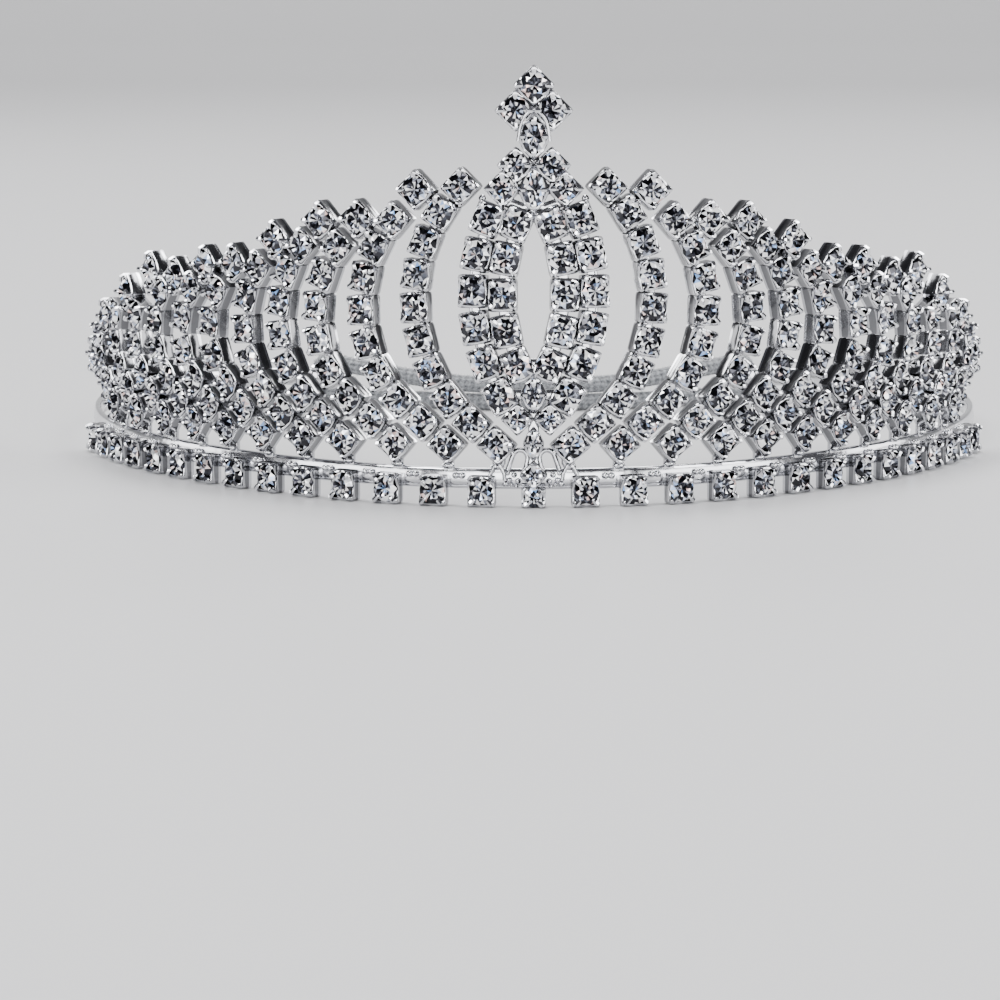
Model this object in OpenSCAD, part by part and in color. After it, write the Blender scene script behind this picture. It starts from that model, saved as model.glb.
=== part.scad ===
// A rhinestone tiara: claw cups with faceted stones on a bent flat band, and an elastic loop at the back.
// Seen from above the band is three arcs a side. A place on the crown is u, the length along the band's
// middle line from the front, and h, the height above the surface it rests on.
// X runs to the side, the front faces -Y, and Z is up.

/* [Band] */
// Radius of the front arc
front_r = 48.25; // [44:0.25:56]
// Radius of the flatter side arcs
side_r = 87.5; // [80:0.5:95]
// Radius of the tight arcs at the back
back_r = 24; // [20:0.5:28]
// Height of the band's lower edge
band_low = 2.2; // [1.8:0.1:2.4]
// Width of the flat band
band_h = 2.7; // [2.5:0.1:3]
// Thickness of the band
band_t = 1.0; // [0.8:0.1:1.2]

/* [Strip ends] */
// Radius of the bore that the elastic passes through
eye_r = 1.35; // [1.25:0.05:1.6]
// Wall of the rolled end
eye_wall = 0.65; // [0.5:0.05:0.9]
// Height of the rolled end's lower edge
eye_low = 2.5; // [2.4:0.1:3]

/* [Cups] */
// Side of a square strand cup
cup_w = 4.0; // [3.7:0.1:4.1]
// Depth of a strand cup, back to rim
cup_d = 2.4; // [2.2:0.1:3]
// Side of a square cup on the band
base_w = 3.6; // [3.2:0.1:3.8]
// Depth of a cup on the band
base_d = 2.0; // [1.8:0.1:2.4]
// Wall of every cup
cup_wall = 0.25; // [0.2:0.05:0.3]
// Plate at the back of every cup
cup_floor = 0.5; // [0.3:0.05:0.6]
// Side of a square claw
claw_w = 0.55; // [0.4:0.05:0.6]
// How far the claws stand above the rim
claw_rise = 0.4; // [0.2:0.05:0.6]

/* [Stones] */
// Width of a round stone as a share of the inside of its cup
stone_fit = 0.96; // [0.9:0.01:0.97]
// Width of the table as a share of the stone
table_fit = 0.56; // [0.5:0.01:0.62]
// Height of the crown of a stone as a share of its width
crown_fit = 0.16; // [0.12:0.01:0.2]
// Depth of the pavilion as a share of the stone's width
pavilion_fit = 0.34; // [0.3:0.01:0.4]

/* [Strands] */
// Angle at which a strand leaves the band
foot_angle = 41; // [38:1:44]
// Height of a strand's lowest cup
foot_h = 7.9; // [7.8:0.1:8.4]
// How far the front of the crown leans back
front_lean = 5; // [0:0.5:7]
// Distance from the middle over which the lean fades out
lean_reach = 20; // [18:1:26]
// Thickness of the links at the back of the cups
link_t = 0.7; // [0.5:0.05:0.9]
// Width of the links at the back of the cups
link_w = 1.4; // [1:0.1:1.8]

/* [Base row] */
// Place of the first cup on the band
base_first = 6.6; // [6:0.1:7]
// Step from cup to cup
base_step = 6.25; // [6:0.05:6.5]
// Cups a side
base_count = 14; // [12:1:15]

/* [Elastic] */
// Radius of one strand of the elastic
elastic_r = 1.15; // [1:0.05:1.2]
// How far the middle of the elastic bows to the front
elastic_bow = 13; // [8:1:16]

/* [Hidden] */
$fn = 48;

// One row a strand: its foot's place, its straight run, the radius and turn of its arc, its cups without the
// peak, and the place and height of its peak cup. A strand's arc starts at foot_angle and ends turn later.
FOOT = 0;
STRAIGHT = 1;
RADIUS = 2;
TURN = 3;
CUPS = 4;
PEAK_U = 5;
PEAK_H = 6;
strands = [
    [4.7, 5.0, 20.6, 93, 10, 15.5, 40.6],
    [11.15, 7.6, 16.7, 91, 9, 23.1, 36.7],
    [18.1, 8.9, 13.6, 90, 8, 28.8, 36.3],
    [25.3, 7.6, 13.8, 93, 8, 36.5, 33.5],
    [32.0, 8.1, 11.9, 87, 7, 44.2, 30.0],
    [39.0, 9.2, 9.4, 81, 6, 50.1, 29.4],
    [46.0, 8.7, 8.6, 91, 6, 57.1, 27.4],
    [53.0, 8.9, 8.2, 86, 6, 63.6, 27.7],
    [60.4, 8.1, 7.4, 69, 5, 71.7, 24.0],
    [68.4, 7.7, 7.0, 69, 5, 80.55, 19.85],
    [77.0, 7.1, 6.6, 44, 4, 87.8, 13.9]
];

// Centre motif, right half and middle: place, height, turn and width of each square cup.
plume_cups = [[0, 54.0, 45, cup_w], [2.5, 50.8, 45, cup_w], [2.45, 43.9, 45, 3.5], [4.15, 41.0, 45, 3.3]];
foot_cups = [[2.05, 11.3, 45, 3.2]];
// Pointed cups on the middle line, each with an oval stone: height, width and tallness.
plume_points = [[47.5, 4.4, 6.2], [40.8, 3.8, 6.0]];
foot_points = [[14.5, 3.6, 5.2], [8.1, 2.8, 4.6]];
outer_ring = arc_through([4.3, 14.2], [8.0, 26.5], [6.2, 36.9]);
inner_ring = arc_through([2.1, 18.2], [4.1, 27.4], [2.3, 36.3]);
outer_count = 6;
inner_count = 5;
low_pair = [[0, 1.3], [0, 3.95]];
low_w = 3.2;
low_h = 2.6;

// Seen from above: each arc runs from one angle to the next, 0 at the front and 90 at the side.
front_angle = 36;
side_angle = 105;
end_angle = 192;
front_len = front_r * front_angle * PI / 180;
side_len = side_r * (side_angle - front_angle) * PI / 180;
back_len = back_r * (end_angle - side_angle) * PI / 180;
half_len = front_len + side_len + back_len;
front_c = [0, front_r];
side_c = front_c + (front_r - side_r) * outward(front_angle);
back_c = side_c + (side_r - back_r) * outward(side_angle);

// Distances out from the middle line: the band's faces, the cups' backs and the front of a base stone.
band_out = -0.1;
band_in = band_out - band_t;
cup_back = -0.8;
base_back = band_out - 0.15;
base_stone_w = (base_w - 2 * cup_wall) * stone_fit;
base_face = base_back + base_d + crown_fit * base_stone_w;
// The origin lies half way between the front of the base stones and the back of the band.
y_mid = (back_c.y + back_r + band_out - base_face) / 2;
band_top = band_low + band_h;
leg_low = band_top + 0.2;
// The rolled end's bore lies just past the band's end, inside it.
eye_past = 0.6;
eye_place = plan_point(half_len) + eye_past * along(end_angle)
    + (band_in + band_t / 2 - eye_r - eye_wall / 2) * outward(end_angle) - [0, y_mid];

function outward(a) = [sin(a), -cos(a)];
function along(a) = [cos(a), sin(a)];
function plan_angle(u) =
    u < front_len ? u / front_r * 180 / PI
    : u < front_len + side_len ? front_angle + (u - front_len) / side_r * 180 / PI
    : side_angle + (u - front_len - side_len) / back_r * 180 / PI;
function plan_point(u) = let (a = plan_angle(u))
    u < front_len ? front_c + front_r * outward(a)
    : u < front_len + side_len ? side_c + side_r * outward(a)
    : back_c + back_r * outward(a);
// The crown leans back above the band only.
function lean(u, h) = h > band_top ? front_lean * max(0, 1 - pow(u / lean_reach, 2)) : 0;

// Place, height and direction at a length s along strand row r.
function strand_at(r, s) =
    let (straight = r[STRAIGHT], radius = r[RADIUS])
    let (bend = foot_angle + max(0, s - straight) / radius * 180 / PI, run = min(s, straight))
    [
        r[FOOT] + run * cos(foot_angle) + radius * (sin(bend) - sin(foot_angle)),
        foot_h + run * sin(foot_angle) - radius * (cos(bend) - cos(foot_angle)),
        bend
    ];
function strand_len(r) = r[STRAIGHT] + r[RADIUS] * r[TURN] * PI / 180;
function strand_step(r) = strand_len(r) / (r[CUPS] - 1);
function strand_places(r) = [for (i = [0:r[CUPS] - 1]) strand_at(r, i * strand_step(r))];
function strand_joints(r) = [for (i = [0:r[CUPS] - 2]) strand_at(r, (i + 0.5) * strand_step(r))];

// Arc through three places, as its centre, radius, start angle and sweep.
function arc_through(a, b, c) =
    let (d = 2 * (a.x * (b.y - c.y) + b.x * (c.y - a.y) + c.x * (a.y - b.y)))
    let (x = (a * a * (b.y - c.y) + b * b * (c.y - a.y) + c * c * (a.y - b.y)) / d)
    let (y = (a * a * (c.x - b.x) + b * b * (a.x - c.x) + c * c * (b.x - a.x)) / d)
    let (start = atan2(a.y - y, a.x - x), end = atan2(c.y - y, c.x - x))
    [x, y, norm(a - [x, y]), start, end - start];
function arc_place(ring, t) = let (a = ring[3] + t * ring[4])
    [ring[0] + ring[2] * cos(a), ring[1] + ring[2] * sin(a), a + 90];
function ring_cups(ring, count) = [
    for (i = [0:count - 1]) let (p = arc_place(ring, i / (count - 1))) [p.x, p.y, p.z, cup_w]
];
marquise_cups = concat(ring_cups(outer_ring, outer_count), ring_cups(inner_ring, inner_count), foot_cups);

// Puts its children at place u and height h, with their X along the band, Y up and Z outward.
module at(u, h, turn = 0) {
    p = plan_point(u);
    translate([p.x, p.y - y_mid, 0])
        rotate([0, 0, plan_angle(u)])
        rotate([90, 0, 0])
        translate([0, band_top, 0])
        rotate([-lean(u, h), 0, 0])
        translate([0, h - band_top, 0])
        rotate([0, 0, turn])
        children();
}

// Draws its children on the right side, or mirrored on the left.
module on_side(side) {
    mirror([side == "left" ? 1 : 0, 0, 0]) children();
}

// Draws its children on both sides, once where they lie in the middle.
module both_sides(u) {
    children();
    if (u > 0) mirror([1, 0, 0]) children();
}

// Square cup, open to the front, with a claw at each corner.
module cup(w, h, back, depth) {
    inside = [w - 2 * cup_wall, h - 2 * cup_wall];
    difference() {
        translate([-w / 2, -h / 2, back]) cube([w, h, depth]);
        translate([-inside.x / 2, -inside.y / 2, back + cup_floor]) cube([inside.x, inside.y, depth]);
    }
    for (x = [-1, 1], y = [-1, 1])
        translate([x * (w - claw_w) / 2 - claw_w / 2, y * (h - claw_w) / 2 - claw_w / 2, back])
            cube([claw_w, claw_w, depth + claw_rise]);
}

// Cup in the shape of an upright diamond, with a claw in each corner.
module pointed_cup(w, h, back, depth) {
    inner = 1 - cup_wall * norm([w, h]) / (w * h) * 2;
    difference() {
        translate([0, 0, back]) linear_extrude(depth) diamond(w, h);
        translate([0, 0, back + cup_floor]) linear_extrude(depth) diamond(w * inner, h * inner);
    }
    for (m = [0, 180]) rotate([0, 0, m]) {
        translate([w / 2 - 0.3, 0, back]) linear_extrude(depth + claw_rise) diamond(0.5, 0.5);
        translate([0, h / 2 - 0.4, back]) linear_extrude(depth + claw_rise) diamond(0.6, 0.6);
    }
}

module diamond(w, h) {
    polygon([[w / 2, 0], [0, h / 2], [-w / 2, 0], [0, -h / 2]]);
}

// Width and tallness of the stone in a square cup and of the oval that fits a pointed cup.
function square_seat(w) = (w - 2 * cup_wall) * stone_fit * [1, 1];
low_seat = [low_w - 2 * cup_wall, low_h - 2 * cup_wall] * stone_fit;
function pointed_seat(w, h) = (1 - cup_wall * norm([w, h]) / (w * h) * 2) / sqrt(2) * stone_fit * [w, h];

// Eight-sided brilliant: a table, a ring of crown facets and a pavilion down to the culet.
module stone(seat, rim) {
    low = min(seat.x, seat.y);
    ring = [for (i = [0:7]) [cos(45 * i + 22.5), sin(45 * i + 22.5)]];
    half = seat / 2;
    top = half * table_fit;
    table = [for (p = ring) [p.x * top.x, p.y * top.y, rim + crown_fit * low]];
    girdle = [for (p = ring) [p.x * half.x, p.y * half.y, rim]];
    culet = [[0, 0, rim - pavilion_fit * low]];
    table_face = [for (i = [7:-1:0]) i];
    crown = [for (i = [0:7]) let (j = (i + 1) % 8) each [[i, j, j + 8], [i, j + 8, i + 8]]];
    pavilion = [for (i = [0:7]) [i + 8, (i + 1) % 8 + 8, 16]];
    polyhedron(concat(table, girdle, culet), concat([table_face], crown, pavilion), convexity = 2);
}

// Flat link of a length at the back of the cups.
module link(length, back = cup_back) {
    translate([-length / 2, -link_w / 2, back]) cube([length, link_w, link_t]);
}

module motif_cups(squares, points) {
    for (c = squares) both_sides(c[0]) at(c[0], c[1], c[2]) cup(c[3], c[3], cup_back, cup_d);
    for (c = points) at(0, c[0]) pointed_cup(c[1], c[2], cup_back, cup_d);
}

module motif_stones(squares, points) {
    for (c = squares) both_sides(c[0]) at(c[0], c[1], c[2]) stone(square_seat(c[3]), cup_back + cup_d);
    for (c = points) at(0, c[0]) stone(pointed_seat(c[1], c[2]), cup_back + cup_d);
}

// Upright post at the back, from height low to height high.
module post(u, low, high, w = link_w) {
    at(u, (low + high) / 2) translate([-w / 2, -(high - low) / 2, cup_back]) cube([w, high - low, link_t]);
}

// The top stones, with a post behind them and a link behind each pair.
module plume_setting() {
    color("silver") {
        motif_cups(plume_cups, plume_points);
        post(0, 41, 54);
        at(0, 50.6) link(4);
        at(0, 43.9) link(5);
        at(0, 40.8) link(8);
    }
}

module plume_stones() {
    color("azure") motif_stones(plume_cups, plume_points);
}

// Both rings of the pointed oval, and the foot cups that carry it down to the band.
module marquise_setting() {
    color("silver") {
        motif_cups(marquise_cups, foot_points);
        for (i = [0:inner_count - 2]) let (p = arc_place(inner_ring, (i + 0.5) / (inner_count - 1)))
            both_sides(p.x) at(p.x, p.y, p.z) link(2.4);
        for (i = [0:outer_count - 2]) let (p = arc_place(outer_ring, (i + 0.5) / (outer_count - 1)))
            both_sides(p.x) at(p.x, p.y, p.z) link(2.4);
        for (h = [18.6, 27, 36.4]) both_sides(1) at(5.2, h) link(3);
        at(0, 14.4) link(8);
        at(0, 18.4) link(3);
        post(0, low_pair[1].y + low_h / 2 + 0.1, 18);
    }
}

module marquise_stones() {
    color("azure") motif_stones(marquise_cups, foot_points);
}

// Cups of one strand, the links between them, the leg down to the band and the link to the peak cup.
module strand_setting(k, side) {
    r = strands[k - 1];
    places = strand_places(r);
    peak = [r[PEAK_U], r[PEAK_H]];
    away = [for (p = places) norm(peak - [p.x, p.y])];
    host = [for (i = [0:len(places) - 1]) if (away[i] == min(away)) places[i]][0];
    mid = (peak + [host.x, host.y]) / 2;
    color("silver") on_side(side) {
        for (p = places) at(p.x, p.y, p.z) cup(cup_w, cup_w, cup_back, cup_d);
        for (p = strand_joints(r)) at(p.x, p.y, p.z) link(2.4);
        at(peak.x, peak.y, 45) cup(cup_w, cup_w, cup_back, cup_d);
        at(mid.x, mid.y, atan2(peak.y - host.y, peak.x - host.x)) link(3);
        post(r[FOOT], leg_low, foot_h);
    }
}

module strand_stones(k, side) {
    r = strands[k - 1];
    rim = cup_back + cup_d;
    color("azure") on_side(side) {
        for (p = strand_places(r)) at(p.x, p.y, p.z) stone(square_seat(cup_w), rim);
        at(r[PEAK_U], r[PEAK_H], 45) stone(square_seat(cup_w), rim);
    }
}

// Outline of the band seen from above: out along one face, round the end and back along the other.
function edge(u, d) = plan_point(u) + d * outward(plan_angle(u)) - [0, y_mid];
band_stops = concat(
    [for (i = [0:11]) i / 12 * front_len],
    [for (i = [0:22]) front_len + i / 23 * side_len],
    [for (i = [0:18]) front_len + side_len + i / 18 * back_len]
);
last_stop = len(band_stops) - 1;
band_outer = [for (u = band_stops) edge(u, band_out)];
band_inner = [for (u = band_stops) edge(u, band_in)];
band_outline = concat(
    band_outer,
    [for (i = [last_stop:-1:0]) band_inner[i]],
    [for (i = [1:last_stop]) [-band_inner[i].x, band_inner[i].y]],
    [for (i = [last_stop:-1:1]) [-band_outer[i].x, band_outer[i].y]]
);

function base_places() = [for (i = [0:base_count - 1]) base_first + i * base_step];

// The bent band, its rolled ends and the cups soldered to its outer face, which are one piece of metal.
module base_band() {
    color("silver") difference() {
        union() {
            translate([0, 0, band_low]) linear_extrude(band_h) polygon(band_outline);
            for (m = [0, 1]) mirror([m, 0, 0]) {
                translate([eye_place.x, eye_place.y, eye_low])
                    cylinder(h = band_top - eye_low, r = eye_r + eye_wall);
                for (u = base_places()) at(u, base_w / 2) cup(base_w, base_w, base_back, base_d);
            }
            for (p = low_pair) at(p.x, p.y) cup(low_w, low_h, base_back, base_d);
        }
        for (m = [0, 1]) mirror([m, 0, 0])
            translate([eye_place.x, eye_place.y, 0]) cylinder(h = band_top + 1, r = eye_r);
    }
}

module base_stones(side) {
    color("azure") {
        on_side(side) for (u = base_places())
            at(u, base_w / 2) stone(square_seat(base_w), base_back + base_d);
        if (side == "right") for (p = low_pair) at(p.x, p.y) stone(low_seat, base_back + base_d);
    }
}

// The elastic is one loop: a low and a high strand between the eyes, and a turn down through each eye.
elastic_low = elastic_r + 0.05;
elastic_mid = 3 * elastic_r + 0.15;
elastic_top = band_top + elastic_r + 0.1;
elastic_turn = 1.2;
elastic_reach = eye_place.x - elastic_turn;
elastic_steps = 18;
elastic_sides = 8;

function turn_x(a) = elastic_reach + elastic_turn * cos(a);
function elastic_y(x) = eye_place.y - elastic_bow * (1 - pow(x / eye_place.x, 2));
// Half of the loop in x and z: along the high strand, down through the eye and back to the middle.
elastic_half = concat(
    [for (i = [0:elastic_steps - 1]) let (t = i / elastic_steps)
        [t * elastic_reach, elastic_mid + (elastic_top - elastic_mid) * t * t * (3 - 2 * t)]],
    [for (a = [90:-22.5:0]) [turn_x(a), elastic_top - elastic_turn * (1 - sin(a))]],
    [for (a = [0:-22.5:-90]) [turn_x(a), elastic_low + elastic_turn * (1 + sin(a))]],
    [for (i = [elastic_steps - 1:-1:1]) [i / elastic_steps * elastic_reach, elastic_low]]
);
elastic_loop = concat(
    elastic_half,
    [[0, elastic_low]],
    [for (i = [len(elastic_half) - 1:-1:1]) [-elastic_half[i].x, elastic_half[i].y]]
);
function elastic_point(i) = let (p = elastic_loop[i % len(elastic_loop)]) [p.x, elastic_y(p.x), p.y];
function unit(v) = v / norm(v);

module elastic() {
    n = len(elastic_loop);
    rings = [for (i = [0:n - 1])
        let (ahead = unit(elastic_point(i + 1) - elastic_point(i + n - 1)), x = elastic_loop[i].x)
        let (flat = unit([-2 * elastic_bow * x / pow(eye_place.x, 2), 1, 0]), third = cross(ahead, flat))
        [for (j = [0:elastic_sides - 1]) let (a = j * 360 / elastic_sides)
            elastic_point(i) + elastic_r * (cos(a) * flat + sin(a) * third)]];
    faces = [for (i = [0:n - 1], j = [0:elastic_sides - 1])
        let (k = (j + 1) % elastic_sides, m = (i + 1) % n, s = elastic_sides)
        each [[i * s + j, m * s + j, m * s + k], [i * s + j, m * s + k, i * s + k]]];
    color("gainsboro") polyhedron([for (r = rings) each r], faces, convexity = 6);
}

base_band();
base_stones("left");  // base_stones_left
base_stones("right");  // base_stones_right
elastic();
plume_setting();
plume_stones();
marquise_setting();
marquise_stones();
for (k = [1:len(strands)], side = ["left", "right"]) {
    strand_setting(k, side);
    strand_stones(k, side);
}
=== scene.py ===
# %% [markdown]
# # A rhinestone tiara
# This lesson dresses a measured model of a small tiara. The model gives the sizes and the places of its pieces.
# Each step replaces one kind of plain piece by one with the detail of the real thing: folded claws, cut stones,
# a polished strip and a fuzzy elastic. Sizes are written in millimetres and turned into metres at the end.

import bpy
import numpy as np
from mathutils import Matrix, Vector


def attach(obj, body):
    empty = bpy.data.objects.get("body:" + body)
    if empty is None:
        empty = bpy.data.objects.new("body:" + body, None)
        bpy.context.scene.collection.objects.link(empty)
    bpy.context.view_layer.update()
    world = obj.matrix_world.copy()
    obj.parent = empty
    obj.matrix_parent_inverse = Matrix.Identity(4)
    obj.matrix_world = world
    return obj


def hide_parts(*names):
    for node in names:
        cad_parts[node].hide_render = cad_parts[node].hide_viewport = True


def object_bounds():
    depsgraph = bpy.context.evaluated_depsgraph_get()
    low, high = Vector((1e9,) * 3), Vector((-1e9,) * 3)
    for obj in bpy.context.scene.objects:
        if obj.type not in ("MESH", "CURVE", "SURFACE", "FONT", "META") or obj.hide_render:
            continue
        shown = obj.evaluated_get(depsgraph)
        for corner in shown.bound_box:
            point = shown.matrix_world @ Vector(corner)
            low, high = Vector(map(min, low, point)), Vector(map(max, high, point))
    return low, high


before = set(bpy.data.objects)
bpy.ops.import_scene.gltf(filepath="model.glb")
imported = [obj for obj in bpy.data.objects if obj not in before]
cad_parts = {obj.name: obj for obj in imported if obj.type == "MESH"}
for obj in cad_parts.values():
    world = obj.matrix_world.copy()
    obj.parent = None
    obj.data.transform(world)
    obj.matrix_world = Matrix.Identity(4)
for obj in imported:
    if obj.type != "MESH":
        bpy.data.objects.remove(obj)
cad_low, cad_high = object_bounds()
MM = 0.001
print(f"{len(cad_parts)} measured pieces")

# %% [markdown]
# ## Where things sit on the crown
# A jeweller bends one flat strip round the head and solders every cup to it or above it. So each place on the
# crown needs only two numbers: the way along the strip from its middle, and the height. Seen from above the strip
# is three arcs a side: a round front, a flatter flank and a tight back. The functions below turn the two numbers
# into a point and three directions. They repeat the measured model's own sizes, so that every piece lands on it.

# %% The strip seen from above
FRONT_R, SIDE_R, BACK_R = 48.25, 87.5, 24.0
FRONT_END, SIDE_END, BACK_END = 36.0, 105.0, 192.0
BAND_LOW, BAND_H, BAND_T = 2.2, 2.7, 1.0
BAND_TOP = BAND_LOW + BAND_H
BAND_OUT = -0.1
LEAN, LEAN_REACH = 5.0, 20.0


def outward(angle):
    """Unit vectors seen from above that point out of the crown: (sin a, -cos a), with a in degrees."""
    a = np.radians(angle)
    return np.stack([np.sin(a), -np.cos(a)], -1)


def along(angle):
    """Unit vectors along the strip: (cos a, sin a)."""
    a = np.radians(angle)
    return np.stack([np.cos(a), np.sin(a)], -1)


FRONT_LEN = FRONT_R * np.radians(FRONT_END)
SIDE_LEN = SIDE_R * np.radians(SIDE_END - FRONT_END)
BACK_LEN = BACK_R * np.radians(BACK_END - SIDE_END)
HALF_LEN = FRONT_LEN + SIDE_LEN + BACK_LEN
FRONT_C = np.array([0.0, FRONT_R])
SIDE_C = FRONT_C + (FRONT_R - SIDE_R) * outward(FRONT_END)
BACK_C = SIDE_C + (SIDE_R - BACK_R) * outward(SIDE_END)


def strip_angle(u):
    """The strip's direction at each place u: the angles of its arcs add up with the length along them."""
    side, back = u - FRONT_LEN, u - FRONT_LEN - SIDE_LEN
    return np.where(u < FRONT_LEN, np.degrees(u / FRONT_R),
                    np.where(back < 0, FRONT_END + np.degrees(side / SIDE_R), SIDE_END + np.degrees(back / BACK_R)))


def strip_point(u):
    """Points of the strip's middle line: an arc's centre plus its radius outward."""
    a = outward(strip_angle(u))
    u = np.asarray(u)[..., None]
    return np.where(u < FRONT_LEN, FRONT_C + FRONT_R * a,
                    np.where(u < FRONT_LEN + SIDE_LEN, SIDE_C + SIDE_R * a, BACK_C + BACK_R * a))


BASE_W, BASE_D, WALL, CROWN_SHARE = 3.6, 2.0, 0.25, 0.16
BASE_BACK = BAND_OUT - 0.15
base_face = BASE_BACK + BASE_D + CROWN_SHARE * (BASE_W - 2 * WALL) * 0.96
Y_MID = (BACK_C[1] + BACK_R + BAND_OUT - base_face) / 2
print(f"strip length {2 * HALF_LEN:.0f} mm, middle of the outline {Y_MID:.2f} mm behind the front of the strip")

# %% Points and directions on the crown
UP = np.array([0.0, 0.0, 1.0])


def seats(u, h, turn, side):
    """Origins and axes of places on the crown: axis 0 runs along the strip, 1 up and 2 out of the crown.

    Above the strip the front leans back by LEAN times 1 - (u / LEAN_REACH)^2, about the strip's top edge. The
    first two axes are then turned in their plane. On the left side everything is mirrored in x, and axis 0 is
    turned round once more, so that the axes stay right-handed.
    """
    u, h, turn = (np.asarray(v, float) for v in (u, h, turn))
    a = strip_angle(u)
    flat = np.zeros(u.shape + (1,))
    out = np.concatenate([outward(a), flat], -1)
    ahead = np.concatenate([along(a), flat], -1)
    lean = np.radians(np.where(h > BAND_TOP, LEAN * np.clip(1 - (u / LEAN_REACH) ** 2, 0, 1), 0))[..., None]
    y, z = UP * np.cos(lean) - out * np.sin(lean), out * np.cos(lean) + UP * np.sin(lean)
    origin = np.concatenate([strip_point(u) - [0, Y_MID], flat + BAND_TOP], -1) + (h[..., None] - BAND_TOP) * y
    t = np.radians(turn)[..., None]
    axes = np.stack([ahead * np.cos(t) + y * np.sin(t), y * np.cos(t) - ahead * np.sin(t), z], -2)
    if side == "left":
        origin, axes = origin * [-1, 1, 1], axes * [-1, 1, 1]
        axes[..., 0, :] *= -1
    return origin, axes


# %% [markdown]
# ## The layout of the cups
# Each curved strand starts on the strip, runs straight up at an angle and then bends round a circle, like a
# feather. Beside its end stands one more cup, turned on its corner. The middle has a pointed oval of two rings
# with a plume above it. These lists say where each cup is: place, height, turn, width, tallness and shape.

# %% Strands, rings and single cups
CUP_W, CUP_D, CUP_BACK = 4.0, 2.4, -0.8
CHAIN_TALL, RING_STEP = 3.75, 4.35
SQUARE, POINTED = 0, 1
FOOT_ANGLE, FOOT_H = 41.0, 7.9
STRANDS = np.array([  # foot's place, straight run, radius and angle of the bend, cups, corner cup's place and height
    [4.7, 5.0, 20.6, 93, 10, 15.5, 40.6],
    [11.15, 7.6, 16.7, 91, 9, 23.1, 36.7],
    [18.1, 8.9, 13.6, 90, 8, 28.8, 36.3],
    [25.3, 7.6, 13.8, 93, 8, 36.5, 33.5],
    [32.0, 8.1, 11.9, 87, 7, 44.2, 30.0],
    [39.0, 9.2, 9.4, 81, 6, 50.1, 29.4],
    [46.0, 8.7, 8.6, 91, 6, 57.1, 27.4],
    [53.0, 8.9, 8.2, 86, 6, 63.6, 27.7],
    [60.4, 8.1, 7.4, 69, 5, 71.7, 24.0],
    [68.4, 7.7, 7.0, 69, 5, 80.55, 19.85],
    [77.0, 7.1, 6.6, 44, 4, 87.8, 13.9],
])


def strand_length(row):
    """A straight run plus an arc: its radius times its angle."""
    return row[1] + row[2] * np.radians(row[3])


def strand_places(row, shares):
    """Places, heights and directions at shares of a strand's length: a straight run, then an arc of a circle."""
    foot, straight, radius = row[:3]
    s = np.asarray(shares) * strand_length(row)
    bend = FOOT_ANGLE + np.degrees(np.clip(s - straight, 0, None) / radius)
    run, b, f = np.minimum(s, straight), np.radians(bend), np.radians(FOOT_ANGLE)
    u = foot + run * np.cos(f) + radius * (np.sin(b) - np.sin(f))
    h = FOOT_H + run * np.sin(f) - radius * (np.cos(b) - np.cos(f))
    return np.stack([u, h, bend], -1)


def arc_places(points, shares):
    """Places, heights and directions along the circle through three points, which solves two linear equations."""
    p = np.array(points, float)
    centre = np.linalg.solve(2 * (p[1:] - p[0]), (p[1:] ** 2 - p[0] ** 2).sum(1))
    angle = np.degrees(np.arctan2(*(p - centre).T[::-1]))
    a = angle[0] + np.asarray(shares) * (angle[2] - angle[0])
    radius = np.linalg.norm(p[0] - centre)
    return np.stack([centre[0] + radius * np.cos(np.radians(a)), centre[1] + radius * np.sin(np.radians(a)), a + 90], -1)


def rows(places, w=CUP_W, tall=None, shape=SQUARE):
    """Adds a width, a tallness and a shape to each place."""
    places = np.atleast_2d(places)
    extra = np.tile([w, w if tall is None else tall, shape], (len(places), 1))
    return np.concatenate([places, extra], 1)


# Each ring of the oval runs through three points, and a row of a cup is its place, its height and its turn.
OUTER_RING = [(4.3, 14.2), (8.0, 26.5), (6.2, 36.9)]
INNER_RING = [(2.1, 18.2), (4.1, 27.4), (2.3, 36.3)]
BASE_TALL, BASE_FIRST, BASE_STEP, BASE_COUNT = 4.0, 6.6, 6.25, 14
base_row = rows([[BASE_FIRST + i * BASE_STEP, BASE_TALL / 2, 0] for i in range(BASE_COUNT)], BASE_W, BASE_TALL)
low_pair = np.concatenate([rows([0, 1.3, 0], 3.2, 2.6), rows([0, 4.15, 45], 2.7)])
plume_pairs = np.concatenate([rows([2.5, 50.8, 45]), rows([2.45, 43.8, 45], 3.6), rows([4.2, 40.8, 45], 3.6)])
plume_middle = np.concatenate([rows([0, 54, 45]), rows([0, 47.5, 0], 4.4, 6.4, POINTED),
                               rows([0, 40.7, 0], 4.2, 6.4, POINTED)])
oval_pairs = np.concatenate([rows(arc_places(OUTER_RING, np.linspace(0, 1, 6)), RING_STEP, CHAIN_TALL),
                             rows(arc_places(INNER_RING, np.linspace(0, 1, 5)), RING_STEP, CHAIN_TALL),
                             rows([2.05, 11.3, 45], 3.2)])
oval_middle = np.concatenate([rows([0, 14.5, 0], 3.6, 5.2, POINTED), rows([0, 8.1, 0], 2.8, 4.6, POINTED)])


def strand_cups(k):
    """The cups of strand k, with the corner cup last. A tighter bend leaves less room for each along the chain."""
    row = STRANDS[k - 1]
    count = int(row[4])
    step = strand_length(row) / (count - 1)
    wide = np.clip(step * (1 - 1.3 / row[2]), 3.7, 4.1)
    chain = strand_places(row, np.linspace(0, 1, count))
    return np.concatenate([rows(chain, wide, CHAIN_TALL), rows([row[5], row[6], 45])])


def placed(table, side):
    """A table's cups with their origins and axes on one side."""
    return (table, *seats(table[:, 0], table[:, 1], table[:, 2], side))


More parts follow.
